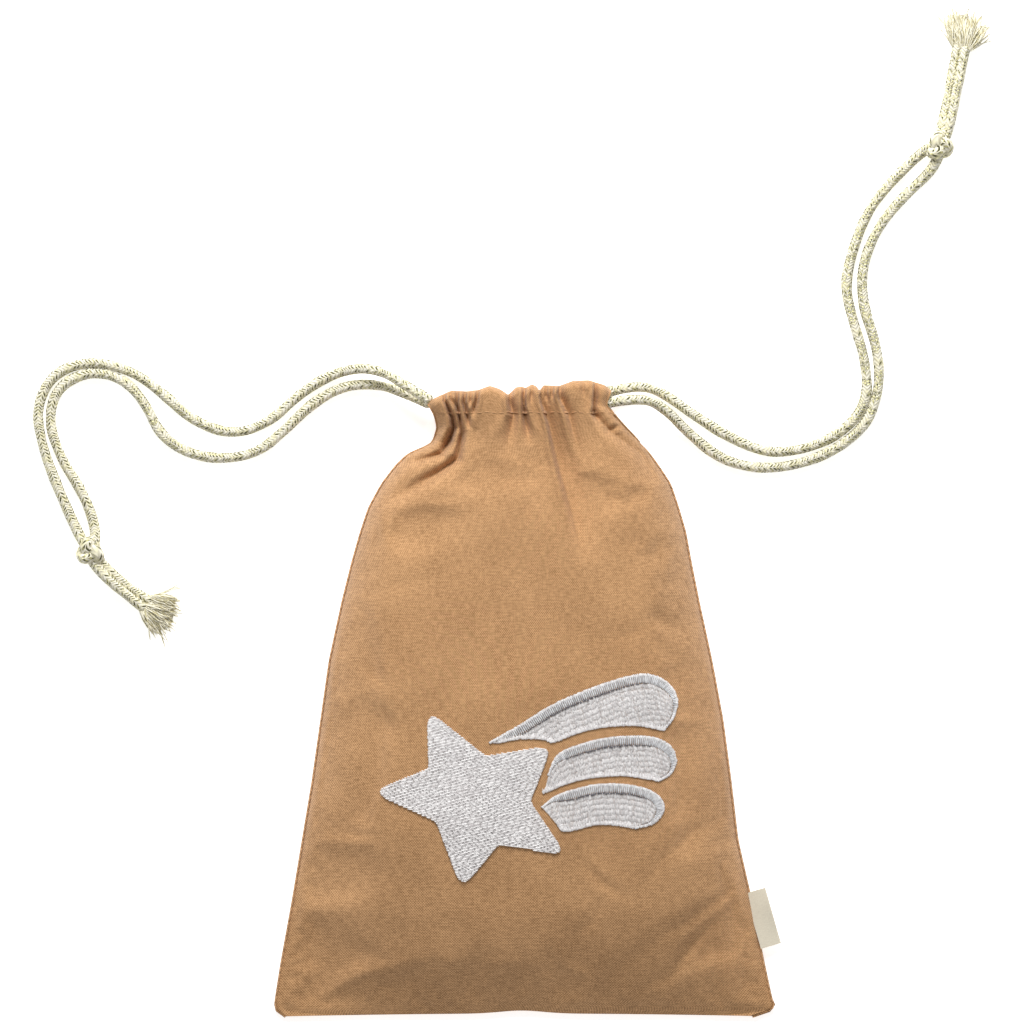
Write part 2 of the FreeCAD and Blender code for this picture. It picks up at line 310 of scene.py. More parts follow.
def thread_material(name, group, colour, dark, roughness, sheen):
    made, w, shader = new_material(name)
    strands = placed_group(w, group, 1.0)
    w.feed(shader["Base Color"], w.mix(strands["Tone"], (*dark, 1), (*colour, 1)))
    w.feed(shader["Roughness"], w.spread(strands["Tone"], 0.0, 1.0, roughness + 0.1, roughness))
    shader["Sheen Weight"].default_value = sheen
    bump(w, shader, strands["Height"], 0.05, 0.6)
    return made


def floor_material():
    made, w, shader = new_material("studio_floor")
    grain = w.noise(w.node("ShaderNodeTexCoord").outputs["Object"], 30.0)
    w.feed(shader["Base Color"], w.mix(grain, (0.90, 0.90, 0.90, 1), (0.93, 0.93, 0.93, 1)))
    shader["Roughness"].default_value = 1.0
    shader["Specular IOR Level"].default_value = 0.0
    shader["Emission Color"].default_value = (1, 1, 1, 1)
    shader["Emission Strength"].default_value = 0.62
    return made


# ------------------------------------------------------------------ mesh helpers
def mesh_piece(name, points, faces, lay, material):
    """Piece from points in millimetres; lay is the map, one pair for each corner of each face."""
    mesh = bpy.data.meshes.new(name)
    places = np.reshape(points, (-1, 3)) * MM
    mesh.from_pydata(places.tolist(), [], np.reshape(faces, (-1, 4)).tolist())
    mesh.uv_layers.new(name="lay").data.foreach_set("uv", np.asarray(lay, np.float32).ravel())
    mesh.shade_smooth()
    mesh.materials.append(material)
    return add_object(name, mesh)


def grid_faces(rows, columns, round_rows=False, round_columns=False):
    """Quads of a grid stored row by row, with the corner's unwrapped (row, column) for its map."""
    row, column = np.meshgrid(np.arange(rows - (not round_rows)),
                              np.arange(columns - (not round_columns)), indexing="ij")
    row, column = row.ravel(), column.ravel()
    corner_rows = np.stack([row, row, row + 1, row + 1], 1)
    corner_columns = np.stack([column, column + 1, column + 1, column], 1)
    return (corner_rows % rows) * columns + corner_columns % columns, corner_rows, corner_columns


def smooth_step(x, low, high):
    t = np.clip((x - low) / (high - low), 0.0, 1.0)
    return t * t * (3 - 2 * t)


def through(points, smoothing=2.2):
    """Smoothed line through (place, value) points, as sampled places and values."""
    keys = np.array(points, float)
    place = np.linspace(keys[0, 0], keys[-1, 0], 1200)
    value = np.interp(place, keys[:, 0], keys[:, 1])
    step = place[1] - place[0]
    reach = int(3 * smoothing / step)
    kernel = np.exp(-0.5 * (np.arange(-reach, reach + 1) * step / smoothing) ** 2)
    padded = np.pad(value, reach, mode="reflect", reflect_type="odd")
    return place, np.convolve(padded, kernel / kernel.sum(), mode="valid")


def at(line, place):
    return np.interp(place, line[0], line[1])


def unit(vectors):
    return vectors / np.maximum(np.linalg.norm(vectors, axis=-1, keepdims=True), 1e-9)


def lengths_along(points):
    return np.concatenate([[0.0], np.cumsum(np.linalg.norm(np.diff(points, axis=0), axis=1))])


def even_spaced(points, spacing):
    """Points of a line again, about spacing apart."""
    points = np.asarray(points, float)
    run = lengths_along(points)
    where = np.linspace(0, run[-1], max(2, round(run[-1] / spacing) + 1))
    return np.stack([np.interp(where, run, points[:, axis]) for axis in range(points.shape[1])], 1)


def thread_piece(name, threads, radius, material, sides=5, ends=0.35):
    """One mesh of many round threads: threads holds, for each thread, the same number of points."""
    threads = np.asarray(threads, float)
    count, steps, _ = threads.shape
    tangent = unit(np.gradient(threads, axis=1))
    across = unit(np.cross(tangent, [0.0, 0.0, 1.0]) + 1e-6)
    lift = np.cross(across, tangent)
    angle = np.arange(sides) * 2 * math.pi / sides
    along = np.linspace(-1, 1, steps)
    thick = np.sqrt(np.clip(1 - (1 - ends) * np.abs(along) ** 6, 0.05, 1))
    ring = across[:, :, None] * np.cos(angle)[:, None] + lift[:, :, None] * np.sin(angle)[:, None]
    radii = np.broadcast_to(np.asarray(radius, float).reshape(-1, 1), (count, steps)) * thick
    points = threads[:, :, None] + ring * radii[:, :, None, None]
    faces, rows, columns = grid_faces(steps, sides, round_columns=True)
    first = np.arange(count)[:, None, None] * steps * sides
    run = np.linalg.norm(np.diff(threads, axis=1), axis=2).sum(1)
    u = rows[None] / (steps - 1) * run[:, None, None] + np.arange(count)[:, None, None] * 3.7
    v = np.broadcast_to(columns[None] / sides, u.shape)
    return mesh_piece(name, points, first + faces, np.stack([u, v], -1), material)


# ------------------------------------------------------------------ cords
PLAIT_COLUMNS = 8
PLAIT_STITCH = 1.35
CORD_SKIN = 2.08
KNOT_SKIN = 2.55
LOOP_SKIN = 1.75
LOOP_FRONT_Z = 16.75
LOOP_BACK_Z = 4.9
LOOP_INSET = 8.0
CORD_SPACING = 0.42

# Control points of each cord. One that gives no height lies on the floor.
ROUTES = {
    "left_cord_front_strand": [
        (-37.6, 118.6, 16.8), (-47.0, 124.6, 15.0), (-60.6, 132.6, 9.0), (-76, 131), (-91, 122),
        (-102, 111), (-117, 105.4), (-133, 111), (-145, 122), (-157, 131), (-173, 135.4), (-188.6, 131),
        (-196.2, 117), (-193.2, 100), (-187, 84), (-181, 70.4), (-176.6, 62.0, 4.5), (-174.6, 58.6, 5.5)],
    "left_cord_back_strand": [
        (-37.8, 117.6, 7.4), (-46.6, 121.4, 5.6), (-59, 126, 3.2), (-73, 125.4), (-86, 118), (-96, 108),
        (-107, 98.6), (-121, 95.8), (-135, 98), (-146.4, 105.6), (-152.4, 118.6), (-161.4, 128.4),
        (-175, 131.2), (-187.6, 124.6), (-191.2, 111.6), (-186, 96), (-177.4, 83), (-172.4, 70),
        (-172.2, 62.4, 4.5), (-173.4, 58.8, 5.5)],
    "right_cord_back_strand": [
        (30.6, 122.2, 7.2), (42, 125.4, 5.2), (53, 123.6, 3.4), (67, 113.4), (81, 104.6), (96, 98.2),
        (111.4, 99.8), (126.2, 106.4), (136.4, 118.6), (135.4, 135.6), (130.8, 150), (127, 165),
        (130.2, 179.6), (136, 194.6), (145.4, 206.6), (155, 216), (160.4, 220.2, 4.5),
        (164.0, 221.6, 5.5)],
    "right_cord_front_strand": [
        (29.8, 117.8, 16.8), (42.8, 120.2, 14.8), (53.2, 118, 8.8), (66, 105), (79, 95), (95, 91.8),
        (110.6, 94.2), (125, 100.4), (136.8, 110.8), (141.4, 126.2), (139.8, 142), (134.2, 157.6),
        (134, 173.4), (139.8, 187.6), (149.6, 200), (160.4, 209.6), (164.2, 215.6, 4.5),
        (165.4, 220.2, 5.5)],
    "left_inner_tail": [
        (-173.0, 58.4, 4.5), (-169.6, 54.2, 3.5), (-163.2, 48.0), (-156.0, 42.6), (-149.8, 38.8)],
    "left_outer_tail": [
        (-174.4, 57.2, 4.5), (-171.6, 52.6, 5.3), (-165.2, 46.2, 5.3), (-157.9, 40.4, 4.7),
        (-152.2, 35.9, 3.7)],
    "right_inner_tail": [
        (164.4, 222.0, 4.5), (165.4, 227.6, 3.5), (167.7, 237.0), (169.9, 249.0), (172.4, 262.0)],
    "right_outer_tail": [
        (165.8, 221.6, 4.5), (168.2, 227.0, 5.3), (170.4, 236.2, 5.3), (172.7, 248.2, 5.1),
        (175.4, 261.0, 4.3)],
}
KNOTS = {"left_knot": ((-174.2, 58.8, 5.5), (0.45, -0.89)),
         "right_knot": ((164.8, 220.8, 5.5), (0.4, 0.92))}


def route_line(points):
    """Smooth line of a route: the route's points are the control points of one NURBS spline."""
    curve = bpy.data.curves.new("route", "CURVE")
    curve.dimensions = "3D"
    curve.resolution_u = 32
    spline = curve.splines.new("NURBS")
    spline.points.add(len(points) - 1)
    for control, place in zip(spline.points, points):
        x, y, z = place if len(place) == 3 else (*place, CORD_REST)
        control.co = (x, y, z, 1.0)
    spline.order_u = 3
    spline.use_endpoint_u = True
    holder = bpy.data.objects.new("route", curve)
    mesh = bpy.data.meshes.new_from_object(holder)
    line = np.array([v.co for v in mesh.vertices], float)
    bpy.data.objects.remove(holder)
    bpy.data.curves.remove(curve)
    bpy.data.meshes.remove(mesh)
    return even_spaced(line, CORD_SPACING)


def plaited_tube(name, line, radius, material, around=40, cap=1.6):
    """Cord whose skin is raised where each plaited stitch crosses over."""
    tangent = unit(np.gradient(line, axis=0))
    across = unit(np.cross(tangent, [0.0, 0.0, 1.0]) + 1e-6)
    lift = np.cross(across, tangent)
    run = lengths_along(line)
    column = np.arange(around) * PLAIT_COLUMNS / around
    inside = column % 1.0
    lean = np.where(np.floor(column) % 2 == 0, -1.0, 1.0)
    slip = 0.5 * np.sin(run / 3.1) + 0.35 * np.sin(run / 1.37 + 2)
    stitches = run / PLAIT_STITCH + slip * 0.6
    phase = stitches[:, None] + lean * inside
    hump = np.abs(np.sin(math.pi * phase)) ** 0.7
    edge = 1 - np.abs(2 * inside - 1) ** 4
    uneven = 1 + 0.045 * np.sin(run / 9.3 + radius) + 0.03 * np.sin(run / 3.7) + 0.02 * np.sin(run / 1.9)
    to_end = np.minimum(run, run[-1] - run)
    tip = np.sqrt(np.clip(1 - (1 - np.clip(to_end / cap, 0.0, 1)) ** 2, 0.02, 1))
    radii = radius * uneven[:, None] * tip[:, None] * (0.95 + 0.06 * hump * edge)
    angle = np.arange(around) * 2 * math.pi / around
    points = (line[:, None] + radii[..., None]
              * (across[:, None] * np.cos(angle)[:, None] + lift[:, None] * np.sin(angle)[:, None]))
    faces, rows, columns = grid_faces(len(line), around, round_columns=True)
    lay = np.stack([columns * PLAIT_COLUMNS / around, stitches[rows]], -1)
    return mesh_piece(name, points, faces, lay, material)


def knot_line(centre, heading):
    """Overhand knot pulled tight: a trefoil turned to lie along the cord."""
    turn = np.linspace(0.1, 2 * math.pi + 0.1, 120)
    along = 1.3 * (np.sin(turn) + 2 * np.sin(2 * turn))
    aside = 1.18 * (np.cos(turn) - 2 * np.cos(2 * turn))
    heading = unit(np.array([*heading, 0.0]))
    side = np.cross([0.0, 0.0, 1.0], heading)
    lift = np.array([0.0, 0.0, 1.0])
    return (np.array(centre) + along[:, None] * heading + aside[:, None] * side
            - 1.7 * np.sin(3 * turn)[:, None] * lift)


def fray(name, end, heading, material, bundles=4, strands=60):
    """Cut end of a cord, its strands spread into a fan of tufts with some loose hairs."""
    heading = unit(heading)
    side = np.cross([0.0, 0.0, 1.0], heading)
    lift = np.cross(heading, side)
    threads = []
    steps = np.linspace(0, 1, 9)[:, None]
    for bundle in range(bundles):
        fan = (bundle - (bundles - 1) / 2) * 0.2 + rng.normal(0, 0.05)
        full = rng.uniform(10.8, 13.4)
        for strand in range(strands):
            hair = strand % 11 == 0
            around = rng.uniform(0, 2 * math.pi)
            out = math.sqrt(rng.uniform())
            spot = side * math.cos(around) + lift * math.sin(around)
            root = side * fan * 3.4 + spot * out * 1.0
            tuft = spot * out * 1.9 * np.sin(steps * math.pi * 0.66)
            aim = fan * 0.9 + rng.normal(0, 0.34 if hair else 0.05)
            if hair:
                reach = full * rng.uniform(0.9, 1.35)
            else:
                reach = full * (0.72 + 0.34 * (1 - out ** 2) + rng.normal(0, 0.04))
            way = heading * math.cos(aim) + side * math.sin(aim)
            wave = 0.35 * np.sin(steps * rng.uniform(5, 10) + rng.uniform(0, 6)) * steps
            curl = side * rng.normal(0, 2.4 if hair else 0.7)
            line = end - heading * 1.8 + root + tuft + way * reach * steps + curl * steps ** 2 + side * wave
            line[:, 2] = np.clip(line[:, 2] - 0.8 * steps[:, 0] ** 2, 0.35, None)
            threads.append(line)
    return thread_piece(name, threads, rng.uniform(0.14, 0.30, len(threads)), material, sides=5)


def channel_line(y, height):
    """Cord lying straight in its casing, under the gathered top fold."""
    x = np.linspace(SLIT_LEFT + LOOP_INSET, SLIT_RIGHT - LOOP_INSET, 30)
    return np.stack([x, np.full_like(x, y), np.full_like(x, height)], 1)


def bridge(start, end, bulge):
    """Half turn of cord from one casing to the other, outside the slit."""
    turn = np.linspace(-math.pi / 2, math.pi / 2, 24)[:, None]
    share = (np.sin(turn) + 1) / 2
    return start + (end - start) * share + np.cos(turn) * np.array([bulge, 0.0, 0.0])


def make_cords(plait, fibre):
    """Strands, knots, tails and frayed ends, and the loops inside the casings."""
    lines = {name: route_line(route) for name, route in ROUTES.items()}
    made = {name: plaited_tube(f"{name}_plait", line, CORD_SKIN, plait) for name, line in lines.items()}
    for name, (centre, heading) in KNOTS.items():
        line = even_spaced(knot_line(centre, heading), CORD_SPACING)
        made[name] = plaited_tube(f"{name}_plait", line, KNOT_SKIN, plait)
    for side in ("left", "right"):
        for tail in ("inner", "outer"):
            line = lines[f"{side}_{tail}_tail"]
            name = f"{side}_{tail}_frayed_end"
            made[name] = fray(f"{name}_fibres", line[-1], line[-1] - line[-12], fibre)
    for side, up, bulge in (("left", 5.0, 4.0), ("right", 1.9, -4.0)):
        front = channel_line(HEM_Y + up, LOOP_FRONT_Z)
        back = channel_line(HEM_Y + up - 1.0, LOOP_BACK_Z)
        if side == "right":
            front, back = front[::-1], back[::-1]
        front_start, back_start = (lines[f"{side}_cord_{face}_strand"][:1] for face in ("front", "back"))
        route = [front_start, front, bridge(front[-1], back[-1], bulge), back[::-1], back_start]
        name = f"{side}_cord_channel_loop"
        made[name] = plaited_tube(f"{name}_plait", even_spaced(np.concatenate(route), 0.6), LOOP_SKIN, plait)
    for name, piece in made.items():
        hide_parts(name)
        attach(piece, "left_cord" if name.startswith("left") else "right_cord")
    return made, lines


# ------------------------------------------------------------------ shape of the cloth
LEFT_EDGE = through([
    (-126.8, -97.0), (-125, -100.4), (-122, -101), (-104.4, -98.2), (-80.4, -93.8), (-32.4, -85.8),
    (15.6, -79), (39.6, -73.8), (55.6, -69.8), (66.8, -66.6), (76.4, -63.4), (86, -58.2),
    (93.2, -52.6), (98, -47.5), (100.2, -41.5), (102.8, -37.8), (108, -35.8), (113, -36.8),
    (118, -39.7), (130, -40.5)], 0.9)
RIGHT_EDGE = through([
    (-126.8, 91), (-124.5, 98.2), (-123.2, 100.2), (-120, 98.4), (-104.4, 95), (-80.4, 90.2),
    (-56, 84.6), (-32, 81.8), (-8, 78.6), (15.6, 74.2), (39.6, 69), (55.6, 65.8), (66.8, 63.8),
    (76.4, 61), (86, 57.8), (93.2, 53), (98, 49.4), (103, 45.2), (108, 40), (112.4, 36.0),
    (117, 31.8), (119.6, 32.4), (122, 33.6), (130, 33.8)], 0.9)
CASING_TOP = through([
    (-44, 116.5), (-39.7, 118.2), (-35, 120.6), (-31.8, 122), (-29.5, 123), (-23.1, 122.7),
    (-18.6, 123.3), (-14.2, 124.9), (-10.3, 123.6), (-7.4, 121.7), (-7.1, 121.1), (-4, 124.3),
    (-1.4, 124.6), (-0.1, 124), (2.4, 125.5), (4.4, 124.6), (5.3, 122.7), (6.9, 125.2),
    (13, 124.8), (18.4, 126.8), (24.8, 127.1), (31.2, 125.2), (34.3, 122.7), (40, 120)], 0.35)
FRONT_RIM = through([(-126.8, 2.0), (-108, 3), (-84, 3.8), (-48, 4.4), (66, 4.8), (86, 5.6), (97, 7.4),
                     (103, 10.4), (108, 14.2), (113.3, 18), (117, 19.4), (130, 19.6)])
FRONT_CROWN = through([(-126.8, 2.8), (-123.6, 5.2), (-108, 13), (-96, 18.5), (-84, 22.4), (-48, 27.2),
                       (0, 28.6), (40, 28.4), (66, 27.4), (86, 25.8), (97, 24.8), (103, 24.4),
                       (113, 24.8), (118, 25.2), (130, 24.8)], 3.0)
BACK_RIM = through([(-126.8, 2.0), (-108, 3), (-84, 3.8), (-48, 4.4), (66, 4.8), (86, 5.6), (97, 7.4),
                    (103, 7.6), (113.3, 6.4), (130, 6)])

# Each pleat or fold: its line, then its depths and its widths from first point to last,
# and for some their lean and how much their lips rise. A negative depth is a ridge.
CREASES = [
    ([(-33.6, 121), (-31.5, 117), (-29.5, 112), (-28.8, 108), (-30.7, 103), (-34, 98), (-42, 95.6),
      (-52, 93.6)],
     [2.4, 3.6, 4.4, 6.0, 6.4, 5.0, 2.8, 0], [0.6, 0.7, 0.9, 1.1, 1.4, 1.8, 2.4, 3.2], 0.0, 0.12),
    ([(-27.6, 122), (-27.6, 117), (-26.6, 112), (-25.6, 106), (-27.6, 96), (-36, 90), (-47.3, 83.4),
      (-60, 76)],
     [3.0, 4.2, 4.6, 5.0, 5.4, 4.2, 2.6, 0], [0.6, 0.7, 0.9, 1.2, 1.8, 2.6, 3.4, 4.5], 0.0, 0.0),
    ([(-24.2, 123), (-24.7, 118), (-23.4, 112), (-22.6, 107)], [3.0, 3.8, 3.0, 0], [0.6, 0.7, 0.8, 1.0]),
    ([(-19, 123.5), (-20, 118), (-22.4, 111)], [2.2, 2.6, 0], [0.6, 0.7, 1.1]),
    ([(-7.1, 123), (-6.2, 117), (-5.2, 113), (-6.5, 106), (-9, 96)], [4.0, 4.4, 3.4, 2.1, 0],
     [0.8, 1.0, 1.3, 2.2, 4.0], 0.6),
    ([(-1.1, 125), (-1.1, 116), (-0.1, 109), (1.4, 101)], [3.2, 3.8, 2.8, 0], [0.6, 0.7, 1.2, 2.0]),
    ([(5.3, 125), (6.3, 118), (8.8, 110.6), (12.4, 95), (15.8, 83), (19.4, 70), (23.6, 54)],
     [4.0, 4.6, 4.2, 3.6, 3.2, 2.6, 0], [0.6, 0.7, 0.8, 1.1, 1.3, 1.7, 2.6], 4.0),
    ([(12, 113), (17, 97), (22, 80), (30, 62)], [0, 1.5, 1.3, 0], [2.5, 3.4, 4.4, 6.0]),
    ([(-30.6, 123), (-29.8, 119), (-28.4, 116)], [1.4, 2.0, 0], [0.5, 0.6, 0.7]),
    ([(-22.0, 122.6), (-22.2, 119), (-22.6, 116)], [1.2, 1.8, 0], [0.5, 0.6, 0.7]),
    ([(7.6, 125), (7.9, 121), (9.0, 117)], [1.6, 2.2, 0], [0.5, 0.6, 0.7]),
    ([(2.0, 125.2), (2.0, 121), (1.6, 117)], [1.0, 1.4, 0], [0.5, 0.6, 0.8]),
    ([(22.0, 127), (22.4, 123), (23.4, 119)], [0.8, 1.0, 0], [0.6, 0.8, 1.2]),
    ([(9.8, 125), (10, 121), (10.4, 118)], [2.0, 1.8, 0], [0.6, 0.6, 0.7]),
    ([(12.4, 125), (13.3, 120), (16.8, 113), (19.4, 104), (24, 91)], [3.6, 3.8, 3.0, 2.0, 0],
     [0.6, 0.7, 1.0, 1.5, 2.6], 2.0),
    ([(27.3, 125.5), (26.9, 119), (26.7, 113.7), (28.6, 110.6)],
     [3.2, 3.8, 3.0, 0], [0.6, 0.6, 0.7, 1.0], 1.0),
    ([(31.0, 106.6), (34.4, 108), (38.6, 110)], [0.2, 1.0, 0.8], [0.8, 0.8, 0.9]),
    ([(0.2, 81), (0.2, 76), (0.3, 71)], [0, 0.6, 0], [1.2, 1.2, 1.2]),
    ([(26.7, 113.7), (33.4, 106.8), (45.4, 98), (53, 84)], [1.4, 1.8, 1.4, 0], [1.2, 1.8, 2.6, 4.0]),
    ([(-20, 106), (-17, 92), (-16, 70)], [0.9, 0.9, 0], [4.0, 5.0, 8.0]),
    ([(86, -44), (66, -52), (52, -64), (44, -78)], [0, 0.3, 0.4, 0], [2.0, 2.6, 3.0, 3.6]),
    ([(88, -72), (70, -84), (48, -98), (30, -112)], [0, 0.3, 0.35, 0], [2.0, 2.6, 3.0, 3.6]),
    ([(80, -84), (66, -97), (56, -112)], [0, 0.3, 0], [1.4, 1.8, 2.2]),
    ([(34, -72), (26, -88), (12, -98)], [0, 0.4, 0], [1.6, 2.2, 2.6]),
    ([(74, -100), (58, -110), (40, -118)], [0, 0.3, 0], [2.0, 2.4, 2.8]),
    ([(76, -60), (82, -82), (84, -104)], [0, 0.4, 0], [1.6, 2.0, 2.4]),
    ([(20, -62), (30, -72), (44, -80)], [0, 0.7, 0], [1.4, 1.8, 2.4]),
    ([(-66, 40), (-52, 46), (-30, 50)], [0, 0.4, 0], [2.0, 3.0, 4.0]),
    ([(52, 34), (40, 26), (24, 24)], [0, 0.4, 0], [2.0, 3.0, 4.0]),
    ([(-88, -123), (-68, -110), (-45, -103), (-15, -104), (13, -105), (32, -113)],
     [0, -1.0, -1.6, -1.5, -1.2, 0], [5, 7, 8, 8, 7, 5], 0.0, 0.0),
    ([(-86, -20), (-72, -10), (-60, 6)], [0, 0.6, 0], [4.0, 5.0, 6.0]),
]


def crease_depth(x, y, line, depths, widths, lean=0.0, lip=0.28):
    """How far the cloth dips at a fold, and rises a little along its lips.
    With a lean it is a pleat: steep on one side, and that much wider on the side to the right."""
    line = np.array(line, float)
    near = np.full(x.shape, 1e9)
    share = np.zeros(x.shape)
    right = np.zeros(x.shape, bool)
    for index in range(len(line) - 1):
        step = line[index + 1] - line[index]
        from_x, from_y = x - line[index, 0], y - line[index, 1]
        along = np.clip((from_x * step[0] + from_y * step[1]) / (step @ step), 0, 1)
        away = np.hypot(from_x - along * step[0], from_y - along * step[1])
        closer = away < near
        near = np.where(closer, away, near)
        share = np.where(closer, index + along, share)
        right = np.where(closer, from_x * step[1] - from_y * step[0] < 0, right)
    depth = np.interp(share, np.arange(len(line)), depths)
    width = np.interp(share, np.arange(len(line)), widths)
    groove = np.exp(-(near / (width * np.where(right, 1 + lean, 1.0))) ** 1.35)
    lips = np.exp(-((near - 2.3 * width) / (1.1 * width)) ** 2) * np.minimum(1, 1.3 / width)
    lips = np.where(right & (lean > 0), 0.0, lips)
    return 1.35 * depth * (groove - lip * lips)


WAVES = [(rng.uniform(0, math.pi), 10 ** rng.uniform(1.35, 1.95), rng.uniform(0, 2 * math.pi))
         for _ in range(16)]


def rumple(x, y):
    """Slight unevenness of cloth that has been folded and smoothed out again."""
    total = np.zeros(x.shape)
    for direction, length, start in WAVES:
        place = (x * math.cos(direction) + y * math.sin(direction)) * 2 * math.pi / length + start
        total += np.sin(place + 0.8 * np.sin(place * 0.37 + start)) * length
    return total / 480


def lerp_edges(share, y):
    """Place between the side edges: -1 is the left one, 1 the right one."""
    left, right = at(LEFT_EDGE, y), at(RIGHT_EDGE, y)
    return left + (right - left) * (share + 1) / 2


def back_pleats(x):
    """Pleats of the gathered back, from 0 to 1."""
    return 0.5 + 0.5 * np.sin(x * 0.9 + 2 * np.sin(x * 0.31))


def across_share(x, y):
    """-1 at the left seam, 1 at the right one."""
    left, right = at(LEFT_EDGE, y) + SEAM_INSET, at(RIGHT_EDGE, y) - SEAM_INSET
    return np.clip((2 * x - left - right) / (right - left), -1, 1)


def front_height(x, y):
    """The front's outer face: domed between its rims, with its pleats, and clear of the cords."""
    share = np.abs(across_share(x, y))
    full = (1 - share ** (2.6 + 3.4 * smooth_step(y, FOOT_Y + 8, FOOT_Y + 80))) ** 0.72
    rim, top = at(FRONT_RIM, y), at(FRONT_CROWN, y)
    height = rim + (top - rim) * full
    height = height + rumple(x, y) * full * smooth_step(y, FOOT_Y, FOOT_Y + 20)
    slack = 0.5 * np.exp(-((x + 96) / 34) ** 2) * smooth_step(-y, 20, 100)
    height = height - (height - rim) * slack
    inner = smooth_step(full, 0.05, 0.5)
    for crease in CREASES:
        height = height - crease_depth(x, y, *crease) * inner
    over_cords = CORD_CLEAR * smooth_step(y, HEM_Y - 3, HEM_Y)
    return np.maximum(height, over_cords)


def foot_lift(x, y):
    """The bottom edge isn't quite straight: it lifts a little towards its middle."""
    lift = 1.1 * (1 - (x / 96) ** 2) + 1.2 * np.exp(-((x + 2) / 12) ** 2)
    return lift * (1 - smooth_step(y, FOOT_Y, FOOT_Y + 28))


def rows_between(low, high, coarse, fine, change):
    """Row places, coarse below the change and fine above it."""
    return np.concatenate([np.arange(low, change, coarse), np.arange(change, high, fine), [high]])


SETTLING_ROWS, SETTLING_COLUMNS = 96, 76
SEWN_SHARE = 0.965
GATHERED_Y = 96.0


def settled_wrinkles(share, y, growth=0.028, steps=18, most=1.7):
    """Wrinkles of a cloth simulation: a panel cut slightly too large settles between its sewn edges.
    It is simulated on a coarse grid, and its rise is read off at the places given."""
    coarse_share = np.linspace(-1, 1, SETTLING_COLUMNS)
    coarse_y = np.linspace(y[0], y[-1], SETTLING_ROWS)
    rows = coarse_y[:, None] + 0 * coarse_share
    x = lerp_edges(coarse_share, coarse_y[:, None])
    rest = np.stack([x, rows, front_height(x, rows)], -1)
    mesh = bpy.data.meshes.new("settling")
    faces = grid_faces(SETTLING_ROWS, SETTLING_COLUMNS)[0]
    mesh.from_pydata((rest.reshape(-1, 3) * MM).tolist(), [], faces.tolist())
    settling = add_object("settling", mesh)
    held = (np.abs(coarse_share) > SEWN_SHARE) | (rows < y[0] + 3) | (rows > GATHERED_Y)
    group = settling.vertex_groups.new(name="sewn")
    group.add(np.nonzero(held.ravel())[0].tolist(), 1.0, "REPLACE")
    cloth = settling.modifiers.new("settling", "CLOTH")
    cloth.settings.quality = 6
    cloth.settings.vertex_group_mass = "sewn"
    cloth.settings.shrink_min = -growth
    cloth.settings.bending_stiffness = 0.6
    cloth.settings.effector_weights.gravity = 0.0
    cloth.collision_settings.use_collision = False
    for step in range(1, steps + 1):
        bpy.context.scene.frame_set(step)
    shape = settling.evaluated_get(bpy.context.evaluated_depsgraph_get()).data
    moved = np.array([v.co for v in shape.vertices]).reshape(rest.shape) / MM
    bpy.data.objects.remove(settling)
    bpy.context.scene.frame_set(1)
    rise = moved[..., 2] - rest[..., 2]
    rise = most * np.tanh(rise / most) * (1 - smooth_step(rows, 80, 100))
    at_rows = np.stack([np.interp(y, coarse_y, column) for column in rise.T], 1)
    return np.stack([np.interp(share, coarse_share, line) for line in at_rows])


FOLD = 3.0
BACK_CASING_SHARE = 0.965


def front_shares():
    """Places across the sack, closer together towards its sides."""
    share = np.linspace(-1, 1, 221)
    return share + 0.05 * np.sin(math.pi * share)


def fold_top(share):
    """How far up in Y the folded top edge is, at a place across the casing."""
    return at(CASING_TOP, NECK_X + share * (SLIT_RIGHT - SLIT_LEFT) / 2)


def fold_ring(share, last, under, turn):
    """One row round the fold at the mouth, from the last row of the outer face to the inner one."""
    middle, half = (last[:, 2] + under) / 2, (last[:, 2] - under) / 2
    y = fold_top(share) - FOLD + FOLD * math.sin(turn)
    return np.stack([lerp_edges(share, y), y, middle + half * math.cos(turn)], -1)


def front_under(share):
    """Height of the turned-in cloth behind the cords."""
    return CASING_UNDER_Z - 0.8 + 0.15 * np.sin(share * 40)


def make_front_panel(cloth):
    """The front in one sheet, from the bottom seam up its face and over the gathered top fold,
    and the row where that fold starts."""
    share = front_shares()
    y = rows_between(FOOT_Y + FOOT_INSET, HEM_Y, 1.5, 0.5, 88.0)
    inset = SEAM_INSET * (1 - smooth_step(y, 97, 108))
    left, right = at(LEFT_EDGE, y) + inset, at(RIGHT_EDGE, y) - inset
    rows = y[:, None] + 0 * share
    columns = left[:, None] + (right - left)[:, None] * (share + 1) / 2
    height = front_height(columns, rows) + settled_wrinkles(share, y)
    body = np.stack([columns, rows + foot_lift(columns, rows), height], -1)
    rings = []
    for rise in np.linspace(0, 1, 26)[1:]:
        ring_y = HEM_Y + (fold_top(share) - FOLD - HEM_Y) * rise
        ring_x = lerp_edges(share, ring_y)
        rings.append(np.stack([ring_x, ring_y, front_height(ring_x, ring_y)], -1))
    last = rings[-1]
    for turn in np.linspace(0, math.radians(100), 9)[1:]:
        rings.append(fold_ring(share, last, front_under(share), turn))
    points = np.concatenate([body, np.stack(rings)])
    faces, row, column = grid_faces(*points.shape[:2])
    # The cloth's own threads: crosswise they close up towards the gathered neck.
    fan = 0.55 + 0.45 * smooth_step(-points[..., 1], -110, -60)
    run = 100 * share * fan + points[..., 0] * (1 - fan)
    up = FOOT_Y + lengths_along(points[:, len(share) // 2])
    lay = np.stack([run.ravel()[faces], up[row]], -1)
    return mesh_piece("front_panel_cloth", points, faces, lay, cloth), last


